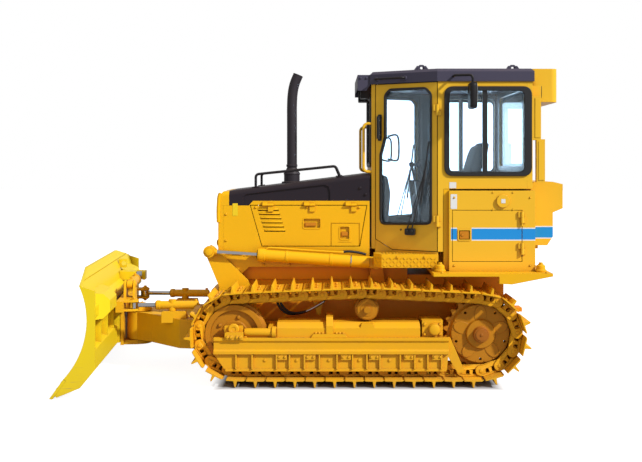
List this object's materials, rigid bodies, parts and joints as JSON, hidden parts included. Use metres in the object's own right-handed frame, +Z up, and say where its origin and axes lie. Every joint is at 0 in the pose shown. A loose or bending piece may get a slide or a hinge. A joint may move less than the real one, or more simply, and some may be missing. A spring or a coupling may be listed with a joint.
{
  "type": "crawler bulldozer",
  "caption": "Crawler tractor with grousered steel tracks, an enclosed cab and a front blade on a C-frame that lifts, angles and tilts.",
  "frame": {"origin": "on the ground, in the middle of the machine's length and width", "axes": "+X forward, +Y left, +Z up"},
  "size_m": [4.5697, 2.6592, 2.8154],
  "materials": {
    "yellow_paint": "semi-gloss paint",
    "black_paint": "satin paint",
    "lemon_paint": "semi-gloss paint",
    "rod_chrome": "polished",
    "engine_iron": "painted casting",
    "exhaust_steel": "heat-darkened",
    "window_glass": "clear",
    "seat_fabric": "woven",
    "black_plastic": "moulded"
  },
  "bodies": {
    "tractor": {"cab_floor": "yellow_paint", "cab_front": "yellow_paint", "cab_glass": "window_glass", "cab_rear": "yellow_paint", "cab_roof": "black_paint", "cab_sides": "yellow_paint", "controls": "black_plastic", "deck": "yellow_paint", "drawbar": "engine_iron", "engine": "engine_iron", "exhaust": "exhaust_steel", "fuel_tank": "yellow_paint", "grab_handles": "yellow_paint", "handrails": "black_paint", "hood_nose": "yellow_paint", "hood_sides": "yellow_paint", "hood_top": "black_paint", "idlers": "yellow_paint", "lamps": "black_plastic", "main_frame": "yellow_paint", "mirrors": "black_plastic", "radiator_guard": "yellow_paint", "rollers": "yellow_paint", "roof_box": "yellow_paint", "seat": "seat_fabric", "side_box_left": "yellow_paint", "side_box_right": "yellow_paint", "sprockets": "yellow_paint", "track_frame_left": "yellow_paint", "track_frame_right": "yellow_paint", "track_left": "yellow_paint", "track_right": "yellow_paint"},
    "lift_frame": {"c_frame": "yellow_paint"},
    "yoke": {"yoke": "yellow_paint"},
    "blade": {"moldboard": "lemon_paint", "cutting_edge": "lemon_paint"},
    "lift_barrel_left": {"lift_barrel_left": "yellow_paint"},
    "lift_barrel_right": {"lift_barrel_right": "yellow_paint"},
    "lift_rod_left": {"lift_rod_left": "rod_chrome"},
    "lift_rod_right": {"lift_rod_right": "rod_chrome"},
    "angle_barrel_left": {"angle_barrel_left": "yellow_paint"},
    "angle_barrel_right": {"angle_barrel_right": "yellow_paint"},
    "angle_rod_left": {"angle_rod_left": "rod_chrome"},
    "angle_rod_right": {"angle_rod_right": "rod_chrome"},
    "tilt_barrel": {"tilt_barrel": "yellow_paint"},
    "tilt_rod": {"tilt_rod": "rod_chrome"},
    "cab_door_left": {"cab_door_left": "yellow_paint", "door_glass_left": "window_glass"},
    "cab_door_right": {"cab_door_right": "yellow_paint", "door_glass_right": "window_glass"},
    "box_door_left": {"box_door_left": "yellow_paint"},
    "box_door_right": {"box_door_right": "yellow_paint"},
    "engine_door_left": {"engine_door_left": "yellow_paint"},
    "engine_door_right": {"engine_door_right": "yellow_paint"}
  },
  "joints": [
    {"name": "lift", "type": "hinge", "parent": "tractor", "child": "lift_frame", "pos_m": [-0.338, 0, 0.33], "axis": [0, -1, 0], "range_deg": [-9, 18.5]},
    {"name": "angle", "type": "hinge", "parent": "lift_frame", "child": "yoke", "pos_m": [1.64, 0, 0.385], "axis": [0, 0, 1], "range_deg": [-29, 21]},
    {"name": "tilt", "type": "hinge", "parent": "yoke", "child": "blade", "pos_m": [1.64, 0, 0.385], "axis": [0.9976, 0.0698, 0], "range_deg": [-7.5, 7.5]},
    {"name": "lift_cylinder_left", "type": "hinge", "parent": "tractor", "child": "lift_barrel_left", "pos_m": [-0.605, 0.5, 1.023], "axis": [0, -1, 0], "range_deg": [-8.5, 17]},
    {"name": "lift_stroke_left", "type": "slide", "parent": "lift_barrel_left", "child": "lift_rod_left", "axis": [0.9977, 0, 0.0673], "range_m": [-0.25, 0.125]},
    {"name": "angle_cylinder_left", "type": "hinge", "parent": "lift_frame", "child": "angle_barrel_left", "pos_m": [1.262, 0.385, 0.625], "axis": [0, 0, 1], "range_deg": [-3, 3]},
    {"name": "angle_stroke_left", "type": "slide", "parent": "angle_barrel_left", "child": "angle_rod_left", "axis": [0.9992, 0.04, 0], "range_m": [-0.21, 0.21]},
    {"name": "lift_cylinder_right", "type": "hinge", "parent": "tractor", "child": "lift_barrel_right", "pos_m": [-0.605, -0.5, 1.023], "axis": [0, -1, 0], "range_deg": [-8.5, 17]},
    {"name": "lift_stroke_right", "type": "slide", "parent": "lift_barrel_right", "child": "lift_rod_right", "axis": [0.9977, 0, 0.0673], "range_m": [-0.25, 0.125]},
    {"name": "angle_cylinder_right", "type": "hinge", "parent": "lift_frame", "child": "angle_barrel_right", "pos_m": [1.262, -0.385, 0.625], "axis": [0, 0, 1], "range_deg": [-3, 3]},
    {"name": "angle_stroke_right", "type": "slide", "parent": "angle_barrel_right", "child": "angle_rod_right", "axis": [0.9994, -0.0345, 0], "range_m": [-0.21, 0.21]},
    {"name": "tilt_cylinder", "type": "hinge", "parent": "yoke", "child": "tilt_barrel", "pos_m": [1.68486, 0.21866, 0.79], "axis": [0.9976, 0.0698, 0], "range_deg": [-6, 6]},
    {"name": "tilt_stroke", "type": "slide", "parent": "tilt_barrel", "child": "tilt_rod", "axis": [0.0697, -0.9974, 0.0155], "range_m": [-0.06, 0.06]},
    {"name": "cab_door_left", "type": "hinge", "parent": "tractor", "child": "cab_door_left", "pos_m": [-1.129, 0.766, 1.8], "axis": [0, 0, 1], "range_deg": [0, 110]},
    {"name": "box_door_left", "type": "hinge", "parent": "tractor", "child": "box_door_left", "pos_m": [-1.868, 0.801, 1.4], "axis": [0, 0, 1], "range_deg": [0, 100]},
    {"name": "engine_door_left", "type": "hinge", "parent": "tractor", "child": "engine_door_left", "pos_m": [0.2, 0.446, 1.547], "axis": [-1, 0, 0], "range_deg": [-75, 0]},
    {"name": "cab_door_right", "type": "hinge", "parent": "tractor", "child": "cab_door_right", "pos_m": [-1.129, -0.766, 1.8], "axis": [0, 0, -1], "range_deg": [0, 110]},
    {"name": "box_door_right", "type": "hinge", "parent": "tractor", "child": "box_door_right", "pos_m": [-1.868, -0.801, 1.4], "axis": [0, 0, -1], "range_deg": [0, 100]},
    {"name": "engine_door_right", "type": "hinge", "parent": "tractor", "child": "engine_door_right", "pos_m": [0.2, -0.446, 1.547], "axis": [1, 0, 0], "range_deg": [-75, 0]}
  ],
  "couplings": [
    {"joint": "lift_cylinder_left", "follows": "lift", "ratio": 0.89},
    {"joint": "lift_stroke_left", "follows": "lift", "m_per_rad": -0.71},
    {"joint": "angle_cylinder_left", "follows": "angle", "ratio": 0.04},
    {"joint": "angle_stroke_left", "follows": "angle", "m_per_rad": -0.39},
    {"joint": "lift_cylinder_right", "follows": "lift", "ratio": 0.89},
    {"joint": "lift_stroke_right", "follows": "lift", "m_per_rad": -0.71},
    {"joint": "angle_cylinder_right", "follows": "angle", "ratio": 0.04},
    {"joint": "angle_stroke_right", "follows": "angle", "m_per_rad": 0.395},
    {"joint": "tilt_cylinder", "follows": "tilt", "ratio": 0.68},
    {"joint": "tilt_stroke", "follows": "tilt", "m_per_rad": 0.405}
  ]
}
